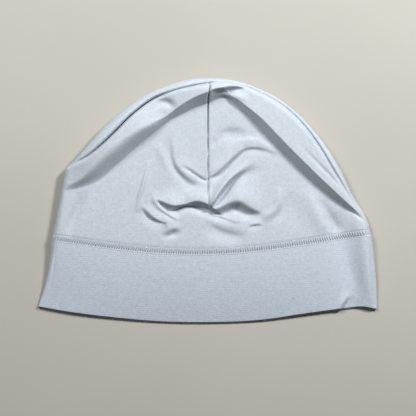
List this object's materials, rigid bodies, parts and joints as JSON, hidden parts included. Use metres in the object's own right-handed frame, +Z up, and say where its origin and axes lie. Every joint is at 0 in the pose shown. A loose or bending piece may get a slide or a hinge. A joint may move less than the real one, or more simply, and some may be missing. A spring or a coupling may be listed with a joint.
{
  "type": "skull cap",
  "caption": "Thin close-fitting knit skull cap lying flat, with a seamed crown, a puffed rim, creases in its front panel and a wide folded band round the open mouth.",
  "frame": {"origin": "on the rest plane under the middle of the cap's outline as it lies", "axes": "+X to the right across the band, +Y from the mouth towards the crown's top, +Z up, away from the surface the cap lies on"},
  "size_m": [0.2407, 0.1743, 0.0187],
  "materials": {
    "crown_knit": "matt fine knit, pale grey-blue",
    "band_knit": "matt fine knit, pale grey-blue, doubled"
  },
  "bodies": {
    "root": {"crown_front": "crown_knit", "crown_back": "crown_knit", "band": "band_knit"}
  },
  "joints": []
}
